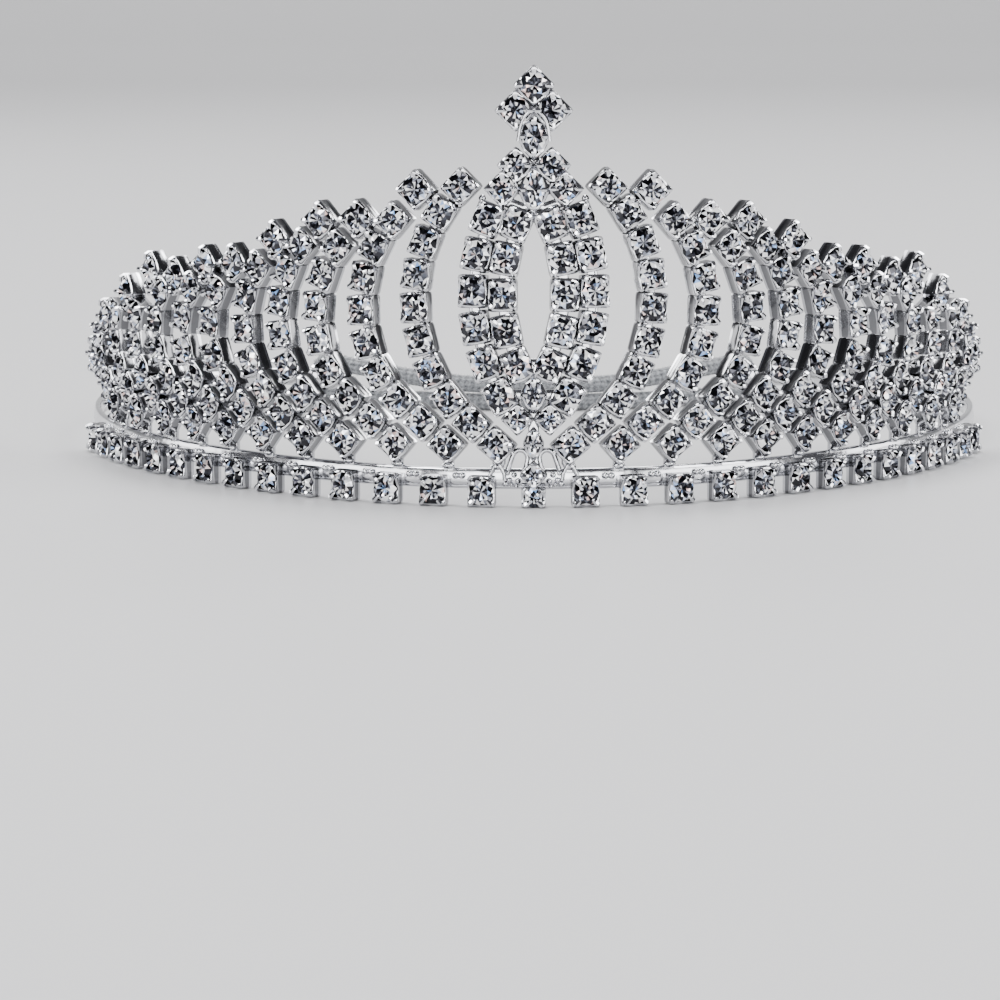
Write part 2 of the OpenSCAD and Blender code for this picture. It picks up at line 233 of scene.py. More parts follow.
def joined(*parts):
    """Several tables of placed cups as one."""
    return tuple(np.concatenate(columns) for columns in zip(*parts))


CHAINS = {f"strand_{k}_{side}": placed(strand_cups(k), side) for k in range(1, 12) for side in ("left", "right")}
CHAINS["plume"] = joined(placed(plume_middle, "right"), placed(plume_pairs, "right"), placed(plume_pairs, "left"))
CHAINS["marquise"] = joined(placed(oval_middle, "right"), placed(oval_pairs, "right"), placed(oval_pairs, "left"))
BASE = {side: placed(base_row, side) for side in ("left", "right")}
BASE["right"] = joined(BASE["right"], placed(low_pair, "right"))
print(sum(len(c[0]) for c in (*CHAINS.values(), *BASE.values())), "cups")

# %% [markdown]
# ## From arrays to meshes
# All shapes here are arrays: corner points in rows of three numbers, and faces as lists of row numbers. One shape
# is worked out once and copied to every seat by a matrix product, so nothing loops over points.

# %% Mesh helpers
class Shape:
    """Points and faces that grow as parts are added, with a number for each face that materials can read."""

    def __init__(self):
        self.points, self.faces, self.tones, self.uv = [], [], [], []
        self.count = 0

    def add(self, points, faces, tones=None, uv=None):
        """Adds points (n, 3) and faces, one array for each number of corners."""
        points = np.asarray(points, float).reshape(-1, 3)
        for i, block in enumerate(faces):
            block = np.asarray(block, int)
            self.faces.append(block + self.count)
            tone = np.zeros(len(block)) if tones is None else np.asarray(tones[i], float)
            self.tones.append(np.broadcast_to(tone, len(block)))
            self.uv.append(np.zeros(block.shape + (2,)) if uv is None else np.asarray(uv[i], float))
        self.points.append(points)
        self.count += len(points)

    def build(self, name, material, sharp=50, stands_for=(), slot="metal"):
        """Makes the mesh object, gives it its material and lets it ride on the crown.

        Edges that turn by more than sharp degrees stay crisp and the others are shaded smooth.
        """
        mesh = bpy.data.meshes.new(name)
        points = np.concatenate(self.points) * MM
        sizes = np.concatenate([np.full(len(f), f.shape[1]) for f in self.faces])
        corners = np.concatenate([f.ravel() for f in self.faces])
        mesh.vertices.add(len(points))
        mesh.vertices.foreach_set("co", points.astype(np.float32).ravel())
        mesh.loops.add(len(corners))
        mesh.loops.foreach_set("vertex_index", corners.astype(np.int32))
        mesh.polygons.add(len(sizes))
        mesh.polygons.foreach_set("loop_start", np.concatenate([[0], np.cumsum(sizes)[:-1]]).astype(np.int32))
        tone = mesh.attributes.new("tone", "FLOAT", "FACE")
        tone.data.foreach_set("value", np.concatenate(self.tones).astype(np.float32))
        uv = mesh.uv_layers.new(name="UVMap")
        uv.data.foreach_set("uv", np.concatenate([u.reshape(-1, 2) for u in self.uv]).astype(np.float32).ravel())
        mesh.polygons.foreach_set("use_smooth", np.full(len(sizes), sharp > 0))
        mesh.materials.append(material)
        mesh.update()
        mesh.validate()
        mesh.set_sharp_from_angle(angle=np.radians(sharp))
        piece = bpy.data.objects.new(name, mesh)
        bpy.context.scene.collection.objects.link(piece)
        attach(piece, "root")
        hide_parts(*stands_for)
        print(f"{name}: {len(points)} points, {len(sizes)} faces")


def copies(faces, size, count):
    """Face rows of count copies of one shape, each with size points."""
    faces = np.asarray(faces, int)
    return (faces[None] + size * np.arange(count)[:, None, None]).reshape(-1, faces.shape[1])


def tube_faces(rings, sides, closed=False):
    """Quads between neighbouring rings of points, looking out where each ring runs left-handed along the path."""
    i, j = np.meshgrid(np.arange(rings if closed else rings - 1), np.arange(sides), indexing="ij")
    k, n = (i + 1) % rings, (j + 1) % sides
    return np.stack([i * sides + j, k * sides + j, k * sides + n, i * sides + n], -1).reshape(-1, 4)


def to_crown(points, origin, axes):
    """Local points (n, p, 3) of n seats in crown coordinates: origin + x X + y Y + z Z."""
    return origin[:, None] + np.einsum("npk,nkj->npj", points, axes)


# %% [markdown]
# ## The claw cups
# Cup chain is stamped sheet: a small square box, open in front, with a claw at each corner that is folded over
# the stone, and a rim that dips between the claws. A box with round posts would look like furniture at this
# scale. So the cup is one surface on a grid: the first parameter runs round the square, the second runs from the
# middle of the back up the outside, over the rim and down the inside.

# %% Points round a square and up a cup
share = np.array([-0.95, -0.76, 0.0, 0.76])
edge = np.array([-0.95, -1.0, -1.0, -1.0])
square = np.concatenate([np.stack([share, edge], -1), np.stack([-edge, share], -1),
                         np.stack([-share, -edge], -1), np.stack([edge, -share], -1)])
claw = np.tile([1.0, 0.45, 0.0, 0.45], 4)
BULGE = 0.16
oval = square * (1 + BULGE * (1 - np.tile(share ** 2, 4)))[:, None]
SIDES = len(square)
luck_of_metal = np.random.default_rng(3)
# One row for each ring: share of the size, wall thicknesses in at a side and at a claw, share of the depth, height
# from there at a side and at a claw, and the tone of the metal up to the next ring. Low tones are painted shade in
# the stamped hollow, on the pressed-in sides and down the inner walls.
PROFILE = np.array([
    [0.26, 0.00, 0.0, 0, 0.50, 0.50, 0.72],  # a small hole in the back, closed by a near-black cap of painted shade, at the bottom of a stamped hollow that is toned a little darker as painted shade
    [0.88, 0.00, 0.0, 0, 0.00, 0.00, 1.00],
    [1.00, 0.00, 0.0, 0, 0.12, 0.12, 1.00],
    [1.00, 0.00, 0.0, 0, 0.56, 0.56, 0.30],  # the sides are pressed in, and toned dark as painted shade
    [1.00, 0.80, 0.1, 1, -0.80, -0.95, 0.70],
    [1.00, 0.00, 0.0, 1, -0.64, -0.20, 1.00],
    [1.00, 0.20, 0.5, 1, -0.46, 0.20, 1.00],  # the rim
    # painted shade: the inner wall down to the floor is toned nearly black
    [1.00, 0.95, 1.9, 1, -0.48, 0.28, 0.12],
    [1.00, 1.05, 1.0, 0.3, 0.00, 0.00, 0.05],
])


def unit_map(table):
    """Maps the unit square to each cup: scaled for a square cup, and turned to stand on its corner if pointed."""
    a, b = table[:, 3] / 2, table[:, 4] / 2
    box = np.stack([np.stack([a, 0 * a], -1), np.stack([0 * b, b], -1)], -2)
    point = np.stack([np.stack([a, a], -1), np.stack([-b, b], -1)], -2) / 2
    return np.where((table[:, 5] == POINTED)[:, None, None], point, box)


def wall_share(table):
    """How much of a cup's half width its wall takes."""
    w, h = table[:, 3], table[:, 4]
    return np.where(table[:, 5] == POINTED, 2 * WALL * np.hypot(w, h) / (w * h), 2 * WALL / np.minimum(w, h))


def cups(shape, chain, back, depth):
    """Adds the cups of a chain: rings of SIDES points by PROFILE rows, closed at the back and on the floor by
    near-black caps of painted shade.
    """
    table, origin, axes = chain
    n, rings = len(table), len(PROFILE)
    size, in_side, in_claw, deep, up_side, up_claw, tone = (c[None, :, None] for c in PROFILE.T)
    c = claw[None, None]
    pull = 1 - (in_side * (1 - c) + in_claw * c) * wall_share(table)[:, None, None]
    ring = np.where((table[:, 5] == POINTED)[:, None, None], oval, square)
    flat = np.einsum("nij,npj->npi", unit_map(table), ring)[:, None] * (size * pull)[..., None]
    z = back + depth * deep + up_side * (1 - c) + up_claw * c + 0 * pull
    points = np.concatenate([flat, z[..., None]], -1).reshape(n, rings * SIDES, 3)
    quads = tube_faces(rings, SIDES)[:, ::-1]
    ends = np.stack([np.arange(SIDES)[::-1], (rings - 1) * SIDES + np.arange(SIDES)])
    worn = luck_of_metal.uniform(0.62, 1.0, (n, 1))
    # The caps' tone of 0.05 is painted shade in the hole and on the floor; worn varies each cup's tone at random.
    shape.add(to_crown(points, origin, axes).reshape(-1, 3),
              [copies(quads, rings * SIDES, n), copies(ends, rings * SIDES, n)],
              [(worn * np.repeat(PROFILE[:-1, 6], SIDES)).ravel(), np.tile([0.05, 0.05], n)])


# %% [markdown]
# The folded claws catch the light as bright dots at the corners. Each is a short bent finger: rings of points
# along a path that climbs the corner and bows inward over the stone, thinner towards its round tip.

# %% Fingers over the corners
FINGER = np.array([  # walls in, height above the rim, half width
    [0.8, -0.90, 0.22], [0.8, -0.10, 0.31], [1.6, 0.40, 0.33], [3.0, 0.42, 0.28], [4.0, 0.20, 0.08],
])
FINGER_SIDES = 5


def fingers(shape, chain, rim):
    """Adds four fingers a cup. A ring's points lie across the finger and square to its path in the corner's plane."""
    table, origin, axes = chain
    n = len(table)
    corner = np.einsum("nij,pj->npi", unit_map(table), square[::4])
    inward = -corner / np.linalg.norm(corner, axis=-1, keepdims=True)
    reach = np.linalg.norm(corner, axis=-1)
    step = wall_share(table)[:, None] * reach
    level = FINGER[:, 1]
    path_in = FINGER[None, None, :, 0] * step[..., None]
    slope_in, slope_up = np.gradient(path_in, axis=-1), np.gradient(level)[None, None]
    length = np.hypot(slope_in, slope_up)
    normal_in, normal_up = -slope_up / length, slope_in / length
    a = 2 * np.pi * np.arange(FINGER_SIDES) / FINGER_SIDES
    half = FINGER[:, 2][None, None, :, None]
    go_in = path_in[..., None] + half * 0.8 * np.cos(a) * normal_in[..., None]
    up = level[None, None, :, None] + half * 0.8 * np.cos(a) * normal_up[..., None]
    across = half * np.sin(a) + 0 * up
    sideways = np.stack([-inward[..., 1], inward[..., 0]], -1)
    flat = corner[:, :, None, None] + inward[:, :, None, None] * go_in[..., None] \
        + sideways[:, :, None, None] * across[..., None]
    points = np.concatenate([flat, (rim + up)[..., None]], -1)
    rings = len(FINGER)
    points = points.reshape(n, 4 * rings * FINGER_SIDES, 3)
    quads = copies(tube_faces(rings, FINGER_SIDES), rings * FINGER_SIDES, 4)
    caps = copies([np.arange(FINGER_SIDES), (rings - 1) * FINGER_SIDES + np.arange(FINGER_SIDES)[::-1]],
                  rings * FINGER_SIDES, 4)
    shape.add(to_crown(points, origin, axes).reshape(-1, 3),
              [copies(quads, 4 * rings * FINGER_SIDES, n), copies(caps, 4 * rings * FINGER_SIDES, n)],
              [np.ones(len(quads) * n), np.ones(len(caps) * n)])


# %% [markdown]
# ## Links, posts and bars
# From behind, a tiara shows its solder: short flat bars between the cups, and posts down to the strip. A bar is a
# rounded rectangle carried along a straight or bent path. The path and the section's two directions are arrays.

# %% Bars along a path
def rounded(width, height, radius):
    """Points of a rectangle with round corners, anticlockwise: a quarter circle at each corner."""
    a = np.radians([0, 45, 90])
    quarter = radius * np.stack([np.cos(a), np.sin(a)], -1)
    turn = np.array([[0, -1], [1, 0]])
    inside = np.array([width / 2 - radius, height / 2 - radius])
    parts = []
    for sign in ((1, 1), (-1, 1), (-1, -1), (1, -1)):
        parts.append(quarter + inside * sign)
        quarter = quarter @ turn.T
    return np.concatenate(parts)


def sweep(shape, path, first, second, section, scale=None, closed=False, tone=1.0, uv_scale=None):
    """Adds a tube: each ring is path + first x + second y for the section's points (x, y).

    The section runs anticlockwise and first, second and the path's direction are right-handed, so the faces of
    tube_faces are turned round to look out.
    """
    path, first, second = (np.asarray(v, float) for v in (path, first, second))
    size = np.ones((len(path), 2)) if scale is None else np.asarray(scale, float)
    local = section[None] * size[:, None]
    points = path[:, None] + local[..., :1] * first[:, None] + local[..., 1:] * second[:, None]
    sides, rings = len(section), len(path)
    quads = tube_faces(rings, sides, closed)
    faces, tones = [quads[:, ::-1]], [np.full(len(quads), tone)]
    uv = None
    if uv_scale is not None:
        i, j = np.divmod(quads[:, 0], sides)
        corner = np.array([[0, 0], [1, 0], [1, 1], [0, 1]])
        uv = [((np.stack([i, j], -1)[:, None] + corner) * np.asarray(uv_scale))[:, ::-1]]
    if not closed:
        caps = np.stack([np.arange(sides)[::-1], (rings - 1) * sides + np.arange(sides)])
        faces.append(caps)
        tones.append(np.full(2, tone))
        if uv is not None:
            uv.append(np.zeros((2, sides, 2)))
    shape.add(points, faces, tones, uv)


LINK_W, LINK_T, LINK_TONE = 1.4, 0.7, 0.75
LINK_SINK = 0.06  # how far a link sinks into the backs that it joins
link_section = rounded(LINK_W, LINK_T, 0.18)


def bars(shape, u, h, turn, length, side, back=CUP_BACK):
    """Adds flat bars centred on places of the crown, with their length along each place's first axis."""
    origin, axes = seats(np.atleast_1d(u), np.atleast_1d(h), np.atleast_1d(turn), side)
    for o, a in zip(origin, axes):
        middle = o + a[2] * (back + LINK_T / 2 - LINK_SINK)
        ends = middle + np.linspace(-0.5, 0.5, 4)[:, None] * length * a[0]
        sweep(shape, ends, np.tile(a[1], (4, 1)), np.tile(a[2], (4, 1)), link_section, tone=LINK_TONE)


def post(shape, u, low, high, side):
    """Adds an upright bar behind the cups, from one height to another."""
    bars(shape, u, (low + high) / 2, 90, high - low, side)


# %% [markdown]
# Solder runs into each joint and sets as a small bright drop. A drop is a low ball on a grid of latitude and
# longitude with three radii of its own. A wire at the foot is the same kind of tube as a bar, with a round section.

# %% Drops of solder
LATITUDES, DROP_SIDES = np.radians([-89, -50, 0, 50, 89]), 8


def drops(shape, centres, axes, radii):
    """Adds low round drops: latitude t and longitude p give (cos t cos p, cos t sin p, sin t) times three radii."""
    centres, axes = np.atleast_2d(centres), np.asarray(axes).reshape(-1, 3, 3)
    t, p = np.meshgrid(LATITUDES, 2 * np.pi * np.arange(DROP_SIDES) / DROP_SIDES, indexing="ij")
    ball = np.stack([np.cos(t) * np.cos(p), np.cos(t) * np.sin(p), np.sin(t)], -1).reshape(-1, 3) * radii
    n, size, around = len(centres), len(ball), np.arange(DROP_SIDES)
    points = to_crown(np.broadcast_to(ball, (n, *ball.shape)), centres, axes)
    quads = tube_faces(len(LATITUDES), DROP_SIDES)[:, ::-1]
    caps = np.stack([around[::-1], size - DROP_SIDES + around])
    shape.add(points.reshape(-1, 3), [copies(quads, size, n), copies(caps, size, n)],
              [np.ones(len(quads) * n), np.ones(2 * n)])


def solder(shape, u, h, side, out=0.0, radii=(0.5, 0.5, 0.35)):
    """Adds drops at places of the crown, at a distance out of the seats' plane."""
    u, h = np.atleast_1d(u).astype(float), np.atleast_1d(h).astype(float)
    origin, axes = seats(u, h, 0 * u, side)
    drops(shape, origin + axes[:, 2] * out, axes, np.array(radii))


WIRE_SIDES, WIRE_TONE = 8, 0.72


def wire(shape, places, side, out, radius):
    """Adds a round wire through places (u, h), at a distance out of the seats' plane."""
    places = np.asarray(places, float)
    origin, axes = seats(places[:, 0], places[:, 1], 0 * places[:, 0], side)
    line = origin + axes[:, 2] * out
    ahead = np.gradient(line, axis=0)
    ahead /= np.linalg.norm(ahead, axis=1, keepdims=True)
    first = np.cross(ahead, axes[:, 2])
    a = 2 * np.pi * np.arange(WIRE_SIDES) / WIRE_SIDES
    section = radius * np.stack([np.cos(a), np.sin(a)], -1)
    sweep(shape, line, first, np.cross(ahead, first), section, tone=WIRE_TONE)


# %% [markdown]
# ## Shader maths in words
# A finish is a sum of patterns. Written as Python expressions they read like the sentence that describes them, so
# a small class wraps a socket and turns operators into Math nodes.

# %% A small shader language
class Value:
    """A number that changes over the surface. Operators add Math nodes."""

    def __init__(self, make, socket):
        self.make, self.socket = make, socket

    def math(self, operation, *others):
        return self.make("ShaderNodeMath", {"operation": operation}, dict(enumerate((self, *others))))

    def __add__(self, other): return self.math("ADD", other)
    def __sub__(self, other): return self.math("SUBTRACT", other)
    def __mul__(self, other): return self.math("MULTIPLY", other)
    def __gt__(self, other): return self.math("GREATER_THAN", other)
    def __radd__(self, other): return self.math("ADD", other)
    def __rmul__(self, other): return self.math("MULTIPLY", other)
    def __rsub__(self, other): return self.math("MULTIPLY", -1.0).math("ADD", other)
    def sine(self): return self.math("SINE")
    def clamp(self): return self.make("ShaderNodeClamp", {}, {0: self})


class Finish:
    """A material with one Principled surface."""

    def __init__(self, name):
        self.material = bpy.data.materials.new(name)
        self.material.use_nodes = True
        self.tree = self.material.node_tree
        self.surface = self.tree.nodes["Principled BSDF"]

    def make(self, kind, settings, values, output=0):
        """Adds a node: first its settings, then values or links for its sockets. Returns one of its outputs."""
        node = self.tree.nodes.new(kind)
        for key, setting in settings.items():
            if key == "stops":
                ramp = node.color_ramp  # the first two stops given are its two ends
                for position, colour in setting[2:]:
                    ramp.elements.new(position).color = (*colour, 1)
                ramp.elements[0].position, ramp.elements[-1].position = setting[0][0], setting[1][0]
                ramp.elements[0].color, ramp.elements[-1].color = (*setting[0][1], 1), (*setting[1][1], 1)
            else:
                setattr(node, key, setting)
        for key, value in values.items():
            if isinstance(value, Value):
                self.tree.links.new(value.socket, node.inputs[key])
            else:
                node.inputs[key].default_value = value
        return Value(self.make, node.outputs[output])

    def set(self, **values):
        """Sets or links sockets of the surface; an underscore in a name stands for a space."""
        for key, value in values.items():
            socket = self.surface.inputs[key.replace("_", " ")]
            if isinstance(value, Value):
                self.tree.links.new(value.socket, socket)
            else:
                socket.default_value = value

    def place(self):
        """The object's own coordinates, in metres."""
        return self.make("ShaderNodeTexCoord", {}, {}, "Object")

    def noise(self, scale, detail=3.0):
        return self.make("ShaderNodeTexNoise", {}, {"Vector": self.place(), "Scale": scale, "Detail": detail})

    def tone(self):
        """The number that each face carries."""
        return self.make("ShaderNodeAttribute", {"attribute_name": "tone"}, {}, "Fac")

    def mix(self, share, first, second):
        """A colour between two colours."""
        return self.make("ShaderNodeMix", {"data_type": "RGBA"}, {0: share, 6: first, 7: second}, 2)

    def bump(self, height, strength, distance):
        return self.make("ShaderNodeBump", {}, {"Height": height, "Strength": strength, "Distance": distance}, "Normal")


# %% [markdown]
# ## Bright plating
# The metal is plated and polished, so its colour is what it mirrors. Real plating is never quite even: it is a
# little wavy and slightly rougher in patches. The tone that each face of a cup carries darkens its floor, inner walls
# and pressed-in sides as painted shade.

# %% Bright plated metal
plating = Finish("bright_plating")
tone = plating.tone()
patches = plating.noise(900.0)
wavy = plating.noise(350.0, 2.0)
plating.set(
    # tone darkens the base colour towards near-black; in the cups' hollows and inner walls this is painted shade
    Base_Color=plating.mix(tone * (0.88 + 0.24 * patches), (0.012, 0.012, 0.015, 1), (0.66, 0.665, 0.69, 1)),
    Metallic=1.0,
    Roughness=(0.06 + 0.14 * patches).clamp(),
    Normal=plating.bump(wavy, 0.25, 0.0002),
)

# %% [markdown]
# ## Cut stones
# A rhinestone is glass with a mirror on its back. Light goes in through the flat table, bounces between the cone
# of facets behind it and comes out as a wheel of black and white triangles. Tracing light through hundreds of tiny
# prisms is slow and noisy. So the stone is modelled as what the eye sees: a crown of polished facets round a
# shallow cone of mirrored ones. Each facet has its own painted brightness, from black to white, that stands in for
# that bounced light, and, rarely, a painted tint for the coloured flashes.

# %% Cut glass
BRIGHT = 0.64  # facets with a higher tone are less of a mirror and more of a pale surface, a painted highlight that stays light from every side
glass = Finish("cut_glass")
tone = glass.tone()
# painted reflection: the ramp turns each facet's tone into black, greys and white, with rare blue and pink flashes
spark = glass.make("ShaderNodeValToRGB", {"stops": [
    (0.0, (0.004, 0.004, 0.007)), (1.0, (1.0, 1.0, 1.0)), (0.40, (0.02, 0.02, 0.03)), (0.54, (0.10, 0.11, 0.14)),
    (0.66, (0.30, 0.32, 0.38)), (0.73, (0.66, 0.69, 0.78)), (0.76, (0.26, 0.48, 0.92)), (0.80, (0.94, 0.95, 1.0)),
    (0.88, (0.96, 0.96, 1.0)), (0.90, (0.90, 0.60, 0.54)), (0.92, (1.0, 1.0, 1.0))]}, {"Fac": tone})
glass.set(
    Base_Color=spark,
    Metallic=0.95 - 0.65 * (tone > BRIGHT),
    Roughness=0.05,
    Coat_Weight=0.5, Coat_Roughness=0.01, Coat_IOR=1.6,
)

# %% [markdown]
# The cut itself is a brilliant: a flat table with sixteen corners, a crown of kites and triangles round it and a
# cone below. Rings of points give it, and the lists of faces join one ring to the next. The facets under the table
# are grouped, so that two triangles share one painted brightness, as if one mirror behind them lit them both.

# %% One cut stone
STEP = 2 * np.pi / 16


def ring_of(count, radius, height, offset=0.0):
    """Points of a regular polygon: radius (cos, sin) at a height, with an offset in steps of 22.5 degrees."""
    a = (np.arange(count) * 16 / count + offset) * STEP
    return np.stack([radius * np.cos(a), radius * np.sin(a), np.full(count, height)], -1)


def cut_stone():
    """Points and triangles of a stone of radius 1: heights are shares of its radius, from the girdle.

    The wheel under the table is a centre, a ring that rises and falls, and the table's sixteen-sided edge. Round
    it lie the crown's stars, kites and edge facets, and below the girdle a cone of facets closes the stone.
    """
    centre = np.array([[0, 0, 0.02]])
    wheel = ring_of(16, 0.33, 0.16)
    wheel[::2, 2] -= 0.10
    table = ring_of(16, 0.58, 0.30)
    bezel = ring_of(8, 0.82, 0.17, 1.0)
    girdle = ring_of(16, 1.0, 0.0)
    culet = np.array([[0, 0, -0.62]])
    points = np.concatenate([centre, wheel, table, bezel, girdle, culet])
    w, t, b, g, c = 1, 17, 33, 41, 57
    i = np.arange(16)
    j = (i + 1) % 16
    e = np.arange(8)
    f = (e + 1) % 8
    tri = np.concatenate([
        np.stack([0 * i, w + i, w + j], -1),
        np.stack([w + i, t + i, t + j], -1), np.stack([w + i, t + j, w + j], -1),
        np.stack([t + 2 * e, b + e, t + (2 * e + 1) % 16], -1),
        np.stack([t + (2 * e + 1) % 16, b + e, t + 2 * f], -1),
        np.stack([t + 2 * f, b + e, g + 2 * f], -1), np.stack([t + 2 * f, g + 2 * f, b + f], -1),
        np.stack([b + e, g + 2 * e, g + 2 * e + 1], -1), np.stack([b + e, g + 2 * e + 1, g + 2 * f], -1),
        np.stack([g + i, c + 0 * i, g + j], -1),
    ])
    groups = np.concatenate([i, 16 + i, 16 + i, 32 + e, 32 + e, 40 + e, 40 + f, 48 + 2 * e, 49 + 2 * e, 64 + i])
    return points, tri, groups


STONE_POINTS, STONE_FACES, STONE_GROUPS = cut_stone()
STONE_SINK = 0.22  # how far a stone's widest ring lies below the rim of its cup
dice = np.random.default_rng(7)
print(f"{len(STONE_FACES)} facets a stone")


def stone_seat(table):
    """Half width and half tallness of each stone: a round one whose edge rests on the walls, or, in a pointed cup,
    the oval that touches them."""
    half = table[:, 3:5] / 2
    inner = 1 - wall_share(table)[:, None]
    round_half = np.sqrt(half.prod(1))[:, None] - 0.8 * WALL + 0 * half
    return np.where((table[:, 5] == POINTED)[:, None], half * inner / np.sqrt(2) * (1 + BULGE), round_half)


def stones(shape, chain, rim):
    """Adds a stone to each seat. Facets in one group share a painted brightness, and wheel facets change between
    painted light and dark.
    """
    table, origin, axes = chain
    n = len(table)
    half = stone_seat(table)
    low = half.min(1)
    spin = np.where(table[:, 5] == POINTED, 0, dice.uniform(0, np.pi / 8, n))
    turn = np.stack([np.stack([np.cos(spin), -np.sin(spin)], -1), np.stack([np.sin(spin), np.cos(spin)], -1)], -2)
    flat = np.einsum("nij,pj->npi", turn, STONE_POINTS[:, :2]) * half[:, None]
    z = rim - STONE_SINK + STONE_POINTS[None, :, 2] * low[:, None]
    points = np.concatenate([flat, z[..., None]], -1)
    # painted glints: each group of facets gets a random brightness, the wheel alternates light and dark, and the cone
    # below stays mid-grey
    painted_glint = dice.beta(0.5, 0.5, (n, 80))
    odd = np.arange(80) % 2
    painted_glint[:, :32] = np.clip(painted_glint[:, :32] * 0.7 + 0.4 * (odd[:32] - 0.25), 0, 1)
    painted_glint[:, 64:] = 0.2 + 0.5 * painted_glint[:, 64:]
    shape.add(to_crown(points, origin, axes).reshape(-1, 3), [copies(STONE_FACES, len(STONE_POINTS), n)],
              [painted_glint[:, STONE_GROUPS].ravel()])


# %% [markdown]
# ## Setting the strands
# Every strand is one chain of cups with a bar behind each joint, a post down to the strip and a bar to its corner
# cup. Drops of solder fill the gaps to the next strand.

# %% Build the strands
RIM = CUP_BACK + CUP_D
CHAIN_LINK, CORNER_LINK = 2.4, 3.0  # lengths of the bars between cups in a row and to a corner cup


def settings(shape, chain, back=CUP_BACK, depth=CUP_D):
    """Adds cups and their fingers."""
    cups(shape, chain, back, depth)
    fingers(shape, chain, back + depth)


for k in range(1, 12):
    row = STRANDS[k - 1]
    count = int(row[4])
    joints = strand_places(row, (np.arange(count - 1) + 0.5) / (count - 1))
    cups_of = strand_cups(k)
    gaps = np.hypot(*(cups_of[:-1, :2] - row[5:7]).T)
    host = cups_of[gaps.argmin(), :2]
    mid, way = (host + row[5:7]) / 2, row[5:7] - host
    for side in ("left", "right"):
        chain = CHAINS[f"strand_{k}_{side}"]
        metal, gems = Shape(), Shape()
        settings(metal, chain)
        bars(metal, *joints.T, CHAIN_LINK, side)
        bars(metal, mid[0], mid[1], np.degrees(np.arctan2(way[1], way[0])), CORNER_LINK, side)
        solder(metal, *joints.T[:2], side, CUP_BACK + 0.1)
        solder(metal, mid[0], mid[1], side, RIM - 0.9, (0.45, 0.45, 0.45))
        post(metal, row[0], BAND_TOP - 0.4, FOOT_H, side)
        solder(metal, row[0], BAND_TOP + 0.25, side, -0.1, (0.9, 0.5, 0.6))
        stones(gems, chain, RIM)
        metal.build(f"claws_{k}_{side}", plating.material, 50, [f"strand_{k}_{side}_setting"])
        gems.build(f"stones_{k}_{side}", glass.material, 0, [f"strand_{k}_{side}_stones"], "stones")

# %% [markdown]
# ## The plume and the pointed oval
# The middle stands on one long post. The oval is two rings of cups a side, with bars across the back that hold
# the rings together. Two bent wires make small arches at its foot, and a thin hoop runs over the upper oval stone.
# All of them are places and heights on the crown, so they follow its bend and its lean.

# %% Build the plume and the pointed oval
metal, gems = Shape(), Shape()
settings(metal, CHAINS["plume"])
post(metal, 0, 41, 54, "right")
for height, length in ((50.6, 4), (43.9, 5), (40.8, 8)):
    bars(metal, 0, height, 0, length, "right")
for side in ("left", "right"):
    bars(metal, [3.0, 1.3], [38.9, 38.5], [20, -20], 2.6, side)
# The hoop over the upper oval stone is a flat-topped curve: height minus two powers of the way across.
s = np.linspace(-1, 1, 19)
hoop = np.stack([2.15 * s, 51.0 - 1.9 * np.abs(s) ** 1.3 - 2.2 * np.abs(s) ** 8], -1)
wire(metal, hoop, "right", RIM + 0.3, 0.22)
stones(gems, CHAINS["plume"], RIM)
metal.build("claws_plume", plating.material, 50, ["plume_setting"])
gems.build("stones_plume", glass.material, 0, ["plume_stones"], "stones")

metal, gems = Shape(), Shape()
settings(metal, CHAINS["marquise"])
for side in ("left", "right"):
    for ring, count in ((INNER_RING, 5), (OUTER_RING, 6)):
        bars(metal, *arc_places(ring, (np.arange(count - 1) + 0.5) / (count - 1)).T, CHAIN_LINK, side)
    for height in (18.6, 27, 36.4):
        bars(metal, 5.2, height, 0, 3, side)
    solder(metal, [6.94, 5.2, 5.2, 5.2], [39.6, 18.6, 27, 36.4], side, 0.5)
    # The foot: a round arch, three short wires beside it, two prongs over the strip, and lumps of solder.
    t = np.radians(np.linspace(200, 20, 17))
    arch = np.stack([1.75 + 1.0 * np.cos(t), 6.2 + 1.1 * np.sin(t)], -1)
    wire(metal, np.concatenate([[[1.3, 4.7], [0.95, 5.1]], arch, [[3.05, 5.6], [3.35, 4.7]]]), side, -0.3, 0.34)
    wire(metal, [[2.6, 6.8], [3.3, 7.6], [4.3, 8.6]], side, -0.3, 0.42)
    wire(metal, [[4.2, 8.2], [3.9, 6.8], [3.95, 5.6], [4.5, 4.8]], side, -0.2, 0.36)
    wire(metal, [[4.7, 5.6], [5.2, 4.9], [5.6, 4.1], [5.7, 3.2]], side, 0.15, 0.26)
    wire(metal, [[4.6, 5.6], [4.1, 4.9], [3.8, 4.2], [3.7, 3.4]], side, 0.15, 0.26)
    solder(metal, [2.0, 2.5, 3.1, 3.6], [3.3, 4.1, 3.4, 2.9], side, 0.1, (0.42, 0.42, 0.42))
    solder(metal, [2.2, 2.8, 3.3], [2.6, 2.8, 4.3], side, 0.1, (0.28, 0.34, 0.3))
bars(metal, 0, 14.4, 0, 8, "right")
bars(metal, 0, 18.4, 0, 3, "right")
post(metal, 0, BAND_TOP + 0.5, 18, "right")
stones(gems, CHAINS["marquise"], RIM)
metal.build("claws_oval", plating.material, 50, ["marquise_setting"])
gems.build("stones_oval", glass.material, 0, ["marquise_stones"], "stones")

# %% [markdown]
# ## The polished strip
# The strip is flat stock with eased edges, bent to shape, with a fine scored line along its lower edge. Its ends
# are narrowed and rolled into eyes for the elastic. It is one section carried along the bend. The roll is a
# circle that the middle line joins at a tangent.

